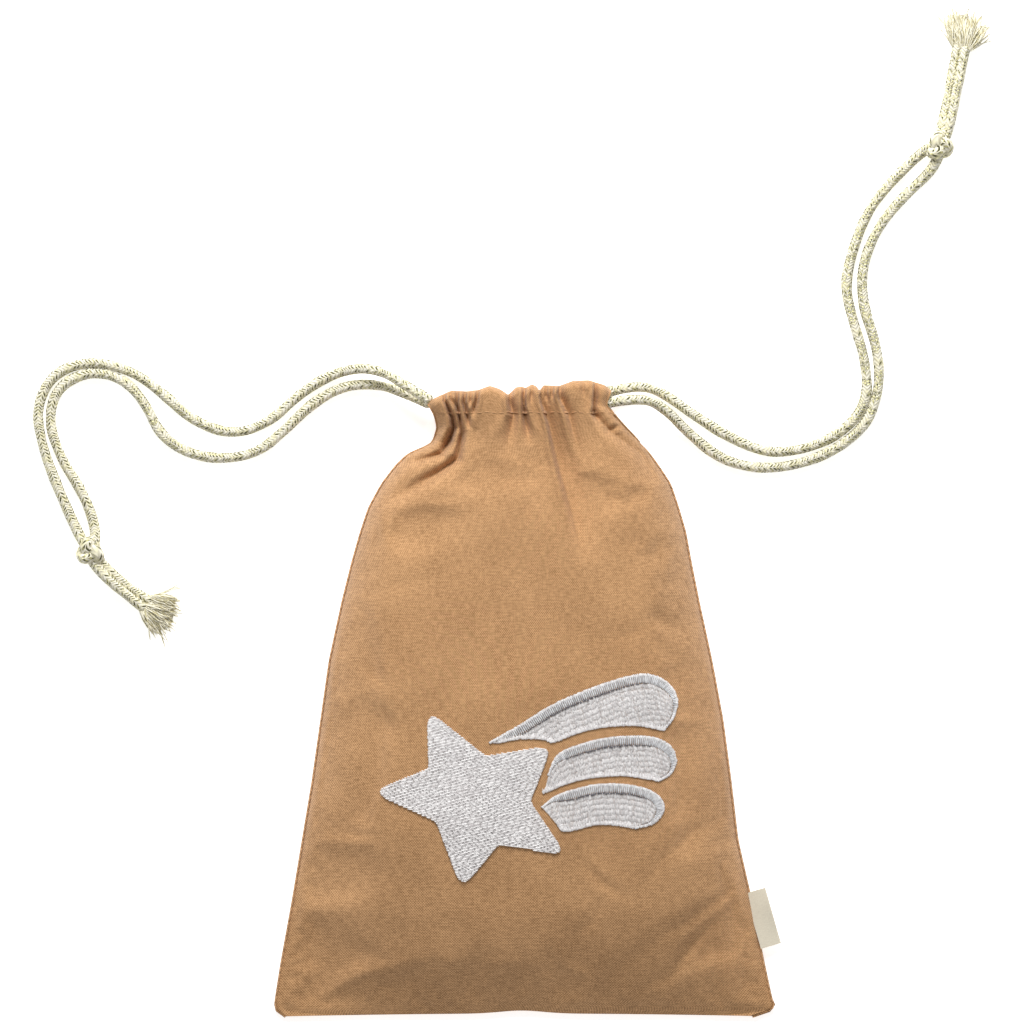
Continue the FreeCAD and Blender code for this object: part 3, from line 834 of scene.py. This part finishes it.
def make_front_casing(cloth, last):
    """The part that is turned in: from the top fold down inside to the hem, behind the cords."""
    share = front_shares()
    under = front_under(share)
    rings = [fold_ring(share, last, under, turn) - [0, 0.05, 0.05]
             for turn in np.linspace(math.radians(94), math.pi, 9)]
    for fall in np.linspace(0, 1, 16)[1:]:
        y = fold_top(share) - FOLD + (HEM_Y + 0.3 - fold_top(share) + FOLD) * fall
        x = lerp_edges(share, y)
        close = smooth_step(np.full_like(x, fall), 0.6, 1.0)
        rings.append(np.stack([x, y, under + (front_height(x, y) - 1.0 - under) * close], -1))
    points = np.stack(rings)
    faces, row, column = grid_faces(*points.shape[:2])
    down = HEM_Y - lengths_along(points[:, len(share) // 2])
    lay = np.stack([100 * share[column] * 0.55 + 0.45 * points[0, :, 0][column], down[row]], -1)
    return mesh_piece("front_casing_cloth", points, faces, lay, cloth)


def make_back_panel(cloth):
    """The back in one sheet, flat on the floor, with both its sides rolled in along the seams."""
    y = rows_between(FOOT_Y, HEM_Y + 0.5, 2.4, 1.0, 92.0)
    roll = [(SEAM_INSET, 0.0), (0.7, 0.35), (0.3, 0.3)]
    share = np.linspace(-1, 1, 121)
    left, right = (edge + (NECK_X - edge) * 0.035 * smooth_step(y, 98, 108)
                   for edge in (at(LEFT_EDGE, y), at(RIGHT_EDGE, y)))
    x = left[:, None] + (right - left)[:, None] * (share + 1) / 2
    rows = y[:, None] + 0 * share
    flat = np.sqrt(1 - np.clip(np.abs(share), 0, 1) ** 5)
    rim = at(BACK_RIM, y)[:, None]
    low = 0.35 + 0.6 * smooth_step(rows, 88, 112)
    foot = np.sqrt(1 - (1 - smooth_step(rows, FOOT_Y - 0.5, FOOT_Y + 9)) ** 2)
    height = rim + (low - rim) * flat * foot
    pleats = 0.9 * smooth_step(rows, 78, 108) * back_pleats(x)
    height = height + pleats * flat
    points = np.stack([x, rows, height], -1)
    start = [np.stack([left + inward, y, at(BACK_RIM, y) + up], -1) for inward, up in roll]
    finish = [np.stack([right - inward, y, at(BACK_RIM, y) + up], -1) for inward, up in roll[::-1]]
    points = np.concatenate([np.stack(start, 1), points, np.stack(finish, 1)], 1)
    points[..., 1] += foot_lift(points[..., 0], points[..., 1])
    faces = grid_faces(*points.shape[:2])[0]
    lay = points.reshape(-1, 3)[faces, :2]
    return mesh_piece("back_panel_cloth", points, faces[:, ::-1], lay[:, ::-1], cloth)


def make_back_casing(cloth):
    """Gathered tube behind: from the hem along the floor, over its own fold and back inside."""
    share = BACK_CASING_SHARE * np.linspace(-1, 1, 181)
    top = fold_top(share) - 1.6
    rings = []
    for rise in np.linspace(0, 1, 16):
        y = HEM_Y + (top - FOLD - HEM_Y) * rise
        x = lerp_edges(share, y)
        rings.append(np.stack([x, y, BACK_CASING_LOW + 0.3 + 0.5 * back_pleats(x)], -1))
    last = rings[-1]
    over = BACK_CASING_HIGH - 0.5 + 0.4 * np.sin(last[:, 0] * 1.2)
    middle, half = (last[:, 2] + over) / 2, (over - last[:, 2]) / 2
    for turn in np.linspace(0, math.pi, 14)[1:]:
        y = top - FOLD + FOLD * math.sin(turn)
        rings.append(np.stack([lerp_edges(share, y), y, middle - half * math.cos(turn)], -1))
    for fall in np.linspace(0, 1, 14)[1:]:
        y = top - FOLD + (HEM_Y + 0.2 - top + FOLD) * fall
        x = lerp_edges(share, y)
        close = smooth_step(np.full_like(x, fall), 0.6, 1.0)
        rings.append(np.stack([x, y, over + (BACK_CASING_LOW + 1.8 - over) * close], -1))
    points = np.stack(rings)
    faces, row, column = grid_faces(*points.shape[:2])
    up = HEM_Y + lengths_along(points[:, len(share) // 2])
    lay = np.stack([55 * share[column] + 0.45 * points[0, :, 0][column], up[row]], -1)
    return mesh_piece("back_casing_cloth", points, faces[:, ::-1], lay[:, ::-1], cloth)


def thicken(piece, thickness=CLOTH, offset=-1):
    """Gives a sheet its thickness, with crisp cut edges."""
    mesh = piece.data
    sides = np.zeros(len(mesh.loops), np.int32)
    mesh.loops.foreach_get("edge_index", sides)
    cut = np.bincount(sides, minlength=len(mesh.edges)) == 1
    mesh.attributes.new("sharp_edge", "BOOLEAN", "EDGE").data.foreach_set("value", cut)
    made = piece.modifiers.new("cloth thickness", "SOLIDIFY")
    made.thickness = thickness * MM
    made.offset = offset


# ------------------------------------------------------------------ sewing on the cloth
class Surface:
    """The front of the sack, for laying threads on."""

    def __init__(self, pieces):
        points, faces = [], []
        for piece in pieces:
            first = len(points)
            points += [v.co / MM for v in piece.data.vertices]
            faces += [[first + i for i in face.vertices] for face in piece.data.polygons]
        self.tree = BVHTree.FromPolygons(points, faces)

    def lay(self, flat, lift):
        """Points (..., 2) laid on the cloth, that much above it."""
        flat = np.asarray(flat, float)
        lift = np.broadcast_to(lift, flat.shape[:-1]).ravel()
        laid = []
        for (x, y), up in zip(flat.reshape(-1, 2), lift):
            hit = self.tree.ray_cast(Vector((x, y, 80)), Vector((0, 0, -1)))[0]
            laid.append((x, y, (hit.z if hit else 0.0) + up))
        return np.array(laid).reshape(*flat.shape[:-1], 3)


def stitch_segments(starts, ends, points=6):
    share = np.linspace(0, 1, points)[:, None]
    return np.asarray(starts)[:, None] * (1 - share) + np.asarray(ends)[:, None] * share


def arch(points, height):
    return height * np.sin(math.pi * np.linspace(0, 1, points))


def row_of_stitches(line, stitch, gap):
    """Even stitches along a flat line."""
    run = lengths_along(line)
    first = np.arange(0, run[-1] - stitch, stitch + gap)
    ends = np.minimum(first + stitch, run[-1])
    return stitch_segments(*(np.stack([np.interp(where, run, line[:, axis]) for axis in range(2)], 1)
                             for where in (first, ends)))


def raised(flat, height):
    """Flat stitches (..., 2) at a height of their own."""
    return np.concatenate([flat, np.broadcast_to(height, flat.shape[:-1])[..., None]], -1)


def sewn_piece(name, nodes, threads, radius, material):
    """Threads on the sack, in one piece that stands for some CAD nodes."""
    piece = thread_piece(name, threads, radius, material)
    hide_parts(*nodes)
    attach(piece, "sack")
    return piece


def add_to_piece(parent, name, threads, radius, material):
    """More threads of the same embroidery, in another thickness or colour."""
    piece = thread_piece(name, threads, radius, material)
    piece.parent = parent


def spans_inside(outline, origin, direction):
    """Where a straight line is inside a closed outline, as sorted pairs of distances along it."""
    after = np.roll(outline, -1, axis=0)
    normal = np.array([-direction[1], direction[0]])
    side, side_after = (outline - origin) @ normal, (after - origin) @ normal
    cross = (side <= 0) != (side_after <= 0)
    share = side[cross] / (side[cross] - side_after[cross])
    hits = outline[cross] + share[:, None] * (after[cross] - outline[cross])
    where = np.sort((hits - origin) @ direction)
    return [(a, b) for a, b in zip(where[::2], where[1::2]) if b - a > 0.4]


def fill_rows(outline, angle, pitch, stitch, banded=False):
    """Stitches that fill an outline in rows at an angle: starts, ends and full-row runs.
    They are laid like bricks, or banded: each row counts its stitches from where it starts."""
    direction = np.array([math.cos(angle), math.sin(angle)])
    normal = np.array([-direction[1], direction[0]])
    reach = outline @ normal
    starts, ends, runs = [], [], []
    for offset in np.arange(reach.min() + pitch / 2, reach.max(), pitch):
        origin = normal * offset
        for low, high in spans_inside(outline, origin, direction):
            low, high = low + rng.uniform(-0.15, 0.15), high + rng.uniform(-0.15, 0.15)
            runs.append((origin + direction * (low + 0.1), origin + direction * (high - 0.1)))
            first = low - rng.uniform(0, stitch)
            if banded:
                first = low + rng.uniform(-0.5, 0.5)
            cuts = np.arange(first, high, stitch)
            marks = [low, *[c for c in cuts if low + 0.5 < c < high - 0.5], high]
            for a, b in zip(marks, marks[1:]):
                starts.append(origin + direction * a)
                ends.append(origin + direction * b)
    return np.array(starts), np.array(ends), np.array(runs)


def rounded_polygon(corners, radii, steps=7):
    """Closed outline with each corner turned by an arc-like curve of its own reach."""
    corners = np.array(corners, float)
    outline = []
    for index, (corner, radius) in enumerate(zip(corners, radii)):
        back = unit(corners[index - 1] - corner) * radius
        on = unit(corners[(index + 1) % len(corners)] - corner) * radius
        for t in np.linspace(0, 1, steps):
            outline.append(corner + back * (1 - t) ** 2 + on * t ** 2)
    return np.array(outline)


def curve_through(points, samples=40):
    """Smooth open curve through a few flat points."""
    points = np.array(points, float)
    ends = np.concatenate([[2 * points[0] - points[1]], points, [2 * points[-1] - points[-2]]])
    out = []
    for a, b, c, d in zip(ends, ends[1:], ends[2:], ends[3:]):
        t = np.linspace(0, 1, samples, endpoint=False)[:, None]
        out.append(0.5 * (2 * b + (c - a) * t + (2 * a - 5 * b + 4 * c - d) * t ** 2
                          + (3 * b - a - 3 * c + d) * t ** 3))
    return np.concatenate([*out, points[-1:]])


STAR_CORNERS = [(-39.6, -2.8), (-16.2, -21.4), (10.2, -17.2), (1.5, -39.4), (15.9, -61.0),
                (-11.1, -56.6), (-25.7, -74.6), (-35.8, -47.5), (-61.8, -35.8), (-38.7, -26.3)]
STAR_ROUNDING = [8.2, 1.8, 6.6, 1.8, 7.0, 1.8, 7.4, 1.8, 8.4, 1.8]
STREAKS = {
    "upper": {
        "rim": [(-14.8, -15.9), (-3.2, -9.3), (11.3, -0.5), (29.8, 7.0), (43.0, 10.7),
                (50.6, 10.3), (56.8, 6.5), (59.8, 0.5), (58.4, -6.3), (54.4, -11.7)],
        "foot": [(54.4, -11.7), (43.0, -9.7), (29.8, -10.4), (19.2, -13.0), (10.4, -16.3),
                  (6.0, -15.0), (-3.2, -15.0), (-11.0, -16.5)],
        "shade": (0.13, 0.7)},
    "middle": {
        "rim": [(8.2, -28.9), (11.3, -21.8), (17.2, -18.1), (29.8, -14.5), (41.7, -13.5),
                (50.9, -14.3), (56.9, -17.6), (59.4, -23.1), (57.3, -28.7), (52.2, -31.7)],
        "foot": [(52.2, -31.7), (46.0, -30.5), (37.0, -29.5), (24.5, -30.5), (15.3, -32.9),
                  (6.6, -36.5)],
        "shade": (0.14, 0.66)},
    "lower": {
        "rim": [(5.8, -41.5), (11.3, -37.2), (20.6, -34.0), (29.8, -32.4), (40.4, -32.8),
                (49.0, -35.0), (53.8, -39.2), (54.0, -44.0), (50.0, -48.5), (43.0, -50.4)],
        "foot": [(43.0, -50.4), (35.1, -49.1), (27.2, -48.9), (15.3, -51.5), (11.3, -47.9)],
        "shade": (0.1, 0.66)},
}
RIM_WIDTH = 3.7
STITCH_RADIUS = 0.30
UNDERLAY_LIFT = 0.12
ROW_PITCH = 0.60


def make_star(surface, silver):
    """Rows of stitches laid like bricks, over a layer of long rows."""
    outline = rounded_polygon(STAR_CORNERS, STAR_ROUNDING)
    starts, ends, runs = fill_rows(outline, math.radians(-7), ROW_PITCH, 2.5)
    top = surface.lay(stitch_segments(starts, ends), 0.40 + arch(6, 0.26))
    under = surface.lay(stitch_segments(runs[:, 0], runs[:, 1]), UNDERLAY_LIFT)
    star = sewn_piece("star_stitches", ["star_embroidery", "embroidery_backing"], top,
                      STITCH_RADIUS * rng.uniform(0.92, 1.1, len(top)), silver)
    add_to_piece(star, "star_underlay", under, STITCH_RADIUS * 1.1, silver)


def inward_normals(line):
    tangent = unit(np.gradient(line, axis=0))
    return np.stack([tangent[:, 1], -tangent[:, 0]], 1)


def satin_across(surface, line, lengths, lift, waver=0.2):
    """Stitches side by side across a line, each from it inwards by its own length."""
    normals = inward_normals(line)
    starts = line - normals * rng.uniform(-waver, waver, (len(line), 1))
    ends = line + normals * np.reshape(lengths, (-1, 1))
    uneven = rng.uniform(-0.05, 0.08, (len(line), 1))
    return surface.lay(stitch_segments(starts, ends), lift + arch(6, 0.05) + uneven)


def make_streak(surface, name, shape, silver, painted_shade, grey):
    """Filled streak with a satin edge, a band inside its rim in a darker copy of the silver thread as
    painted shade, and a grey line beside the band.
    """
    rim = even_spaced(curve_through(shape["rim"]), 0.40)
    foot = even_spaced(curve_through(shape["foot"]), 0.40)
    run = lengths_along(rim)
    depth = RIM_WIDTH * smooth_step(run, -4, 14) * (1 - 0.8 * smooth_step(run, 0.72 * run[-1], run[-1]))
    band = satin_across(surface, rim[::2], depth[::2], 0.36)
    edge = satin_across(surface, rim, np.full(len(rim), 1.0), 0.46)
    border = satin_across(surface, foot, 1.7 + 0.5 * np.sin(np.arange(len(foot)) * 2.4), 0.44)
    inner_rim = rim + inward_normals(rim) * (depth + 0.1)[:, None]
    chord = rim[int(len(rim) * 0.6)] - rim[0]
    angle = math.atan2(chord[1], chord[0]) * 0.75 - math.pi / 2
    low, high, runs = fill_rows(np.concatenate([inner_rim, foot]), angle, 0.44, 2.2, banded=True)
    uneven = rng.uniform(-0.07, 0.07, (len(low), 1))
    fill = surface.lay(stitch_segments(low, high), 0.36 + arch(6, 0.08) + uneven)
    under = surface.lay(stitch_segments(runs[:, 0], runs[:, 1]), UNDERLAY_LIFT)
    threads = np.concatenate([edge, border, fill, under])
    streak = sewn_piece(f"{name}_streak_stitches", [f"{name}_streak"], threads,
                        0.22 * rng.uniform(0.8, 1.15, len(threads)), silver)
    # The band is a darker copy of the silver thread: painted shade for the satin's duller sheen.
    add_to_piece(streak, f"{name}_streak_band", band, 0.36, painted_shade)
    begin, finish = (int(len(rim) * share) for share in shape["shade"])
    stitches = row_of_stitches(inner_rim[begin:finish], 0.8, 0.2)
    lines = surface.lay(stitches + rng.normal(0, 0.12, (len(stitches), 1, 2)), 0.76 + arch(6, 0.08))
    fade = np.sin(np.linspace(0.2, math.pi - 0.2, len(lines)))
    sewn_piece(f"{name}_shade_stitches", [f"{name}_shade_line"], lines,
               0.12 + 0.30 * fade * rng.uniform(0.6, 1, len(lines)), grey)


SEAM_STITCH, SEAM_GAP = 2.2, 0.8


def make_seams(thread):
    """Rows of stitches down both sides and along the bottom."""
    y = np.arange(FOOT_Y + 3, 97, 1.0)
    for side, edge, sign in (("left", LEFT_EDGE, 1), ("right", RIGHT_EDGE, -1)):
        line = np.stack([at(edge, y) + sign * (SEAM_INSET - 0.3), y], 1)
        flat = row_of_stitches(line, SEAM_STITCH, SEAM_GAP)
        threads = raised(flat, at(FRONT_RIM, flat[..., 1]) + 0.42 + arch(6, 0.10))
        sewn_piece(f"{side}_side_seam_stitches", [f"{side}_side_seam"], threads, 0.2, thread)
    x = np.arange(-95.0, 92.0, 1.0)
    line = np.stack([x, FOOT_Y + 0.2 + foot_lift(x, np.full_like(x, FOOT_Y))], 1)
    flat = row_of_stitches(line, SEAM_STITCH, SEAM_GAP)
    threads = raised(flat, at(FRONT_RIM, FOOT_Y) - 0.5 + arch(6, 0.12))
    sewn_piece("bottom_seam_stitches", ["bottom_seam"], threads, 0.2, thread)


def make_casing_stitching(surface, thread):
    """The hem's stitches, seen in front and under the back casing."""
    x = np.arange(-34.0, 33.0, 0.8)
    flat = row_of_stitches(np.stack([x, HEM_Y + 0.9 + 0.25 * np.sin(x * 0.7)], 1), 2.0, 0.9)
    front = sewn_piece("front_casing_stitches", ["front_casing_stitching"],
                       surface.lay(flat, arch(6, 0.12)), 0.15, thread)
    back = sewn_piece("back_casing_stitches", ["back_casing_stitching"],
                      raised(flat, BACK_CASING_LOW - 0.1), 0.19, thread)
    return front, back


def make_label(tape):
    """Blank woven label: a tape folded in two, its fold outwards, its ends caught in the side seam."""
    low, high = corner_mm("side_label", 0), corner_mm("side_label", 1)
    centre = (low + high) / 2
    lean = math.radians(16)
    length, width, half_gap = 23.0, 7.8, 0.42
    out = np.array([math.cos(lean), math.sin(lean)])
    along = np.array([-math.sin(lean), math.cos(lean)])
    lengthwise = np.linspace(-0.5, 0.5, 70)
    across = np.linspace(-width / 2, width / 2, 26)
    section = [(place, half_gap) for place in across]
    for angle in np.linspace(0, math.pi, 9)[1:-1]:
        section.append((width / 2 + half_gap * math.sin(angle), half_gap * math.cos(angle)))
    section += [(place, -half_gap) for place in across[::-1]]
    rings = []
    for place in lengthwise:
        curl = 0.5 * math.sin(place * 5 + 0.6)
        rings.append([[*(centre[:2] + out * a + along * place * length),
                       centre[2] + b + curl * (a / width + 0.5) ** 2] for a, b in section])
    faces, row, column = grid_faces(len(lengthwise), len(section))
    lay = np.stack([lengths_along(np.array(section))[column], lengthwise[row] * length], -1)
    label = mesh_piece("side_label_tape", rings, faces, lay, tape)
    thicken(label, 0.28, 0)
    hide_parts("side_label")
    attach(label, "sack")


# ------------------------------------------------------------------ assembly
add_camera()
bpy.context.scene.view_settings.view_transform = "Standard"
world = bpy.data.worlds.new("studio")
world.use_nodes = True
background = world.node_tree.nodes["Background"].inputs
background["Color"].default_value = (1.0, 1.0, 1.0, 1)
background["Strength"].default_value = 0.42
bpy.context.scene.world = world
add_soft_light("key", (-0.08, 1.12, 0.86), 0.6, 23)

weave, braid, twist = weave_group(), braid_group(), thread_group()
CLOTH_COLOUR, CLOTH_DARK = (0.70, 0.40, 0.192), (0.29, 0.150, 0.062)
sack_cloth = cloth_material("sack_cloth", weave, CLOTH_COLOUR, CLOTH_DARK, 1 / 0.56, 0.14)
label_tape = cloth_material("label_tape", weave, (0.80, 0.74, 0.60), (0.64, 0.58, 0.46), 1 / 0.32, 0.2)
braided_cord = cord_material(braid)
cord_fibre = thread_material("cord_fibre", twist, (0.92, 0.88, 0.72), (0.62, 0.56, 0.32), 0.8, 0.1)
silver_thread = thread_material("silver_thread", twist, (1.0, 0.975, 0.965), (0.74, 0.705, 0.70), 0.42, 0.1)
# Darker copy of the silver thread, painted shade for the satin band's duller sheen.
painted_shade_thread = thread_material("silver_thread_painted_shade", twist, (0.80, 0.80, 0.81), (0.52, 0.51, 0.52),
                                0.42, 0.1)
grey_thread = thread_material("grey_thread", twist, (0.16, 0.155, 0.17), (0.09, 0.088, 0.10), 0.5, 0.0)
seam_thread = thread_material("seam_thread", twist, (0.76, 0.45, 0.225), (0.66, 0.38, 0.182), 0.8, 0.1)

cord_pieces, cord_lines = make_cords(braided_cord, cord_fibre)

front_panel, fold_start = make_front_panel(sack_cloth)
front_casing = make_front_casing(sack_cloth, fold_start)
back_panel = make_back_panel(sack_cloth)
back_casing = make_back_casing(sack_cloth)
surface = Surface([front_panel])

make_star(surface, silver_thread)
for streak_name, streak_shape in STREAKS.items():
    make_streak(surface, streak_name, streak_shape, silver_thread, painted_shade_thread, grey_thread)
make_seams(seam_thread)
make_label(label_tape)
casing_threads = make_casing_stitching(surface, seam_thread)

for piece, node in ((front_panel, "front_panel"), (back_panel, "back_panel"),
                    (front_casing, "front_casing"), (back_casing, "back_casing")):
    thicken(piece)
    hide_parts(node)

# The casings go with the sack, and they and the hem's stitches each get a mesh of their own.
for piece in (front_casing, back_casing):
    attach(piece, "sack")
for piece in (front_casing, back_casing, *casing_threads):
    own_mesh(piece)


def gather_with_casing(panel):
    """Bakes the panel's placement into its mesh."""
    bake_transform(panel)


for panel in (front_panel, back_panel):
    gather_with_casing(panel)

FLOOR_REACH = 3
floor_corners = [(-FLOOR_REACH, -FLOOR_REACH, 0), (FLOOR_REACH, -FLOOR_REACH, 0),
                 (FLOOR_REACH, FLOOR_REACH, 0), (-FLOOR_REACH, FLOOR_REACH, 0)]
floor_mesh = bpy.data.meshes.new("studio_floor")
floor_mesh.from_pydata(floor_corners, [], [(0, 1, 2, 3)])
floor_mesh.materials.append(floor_material())
floor = add_object("studio_floor", floor_mesh)
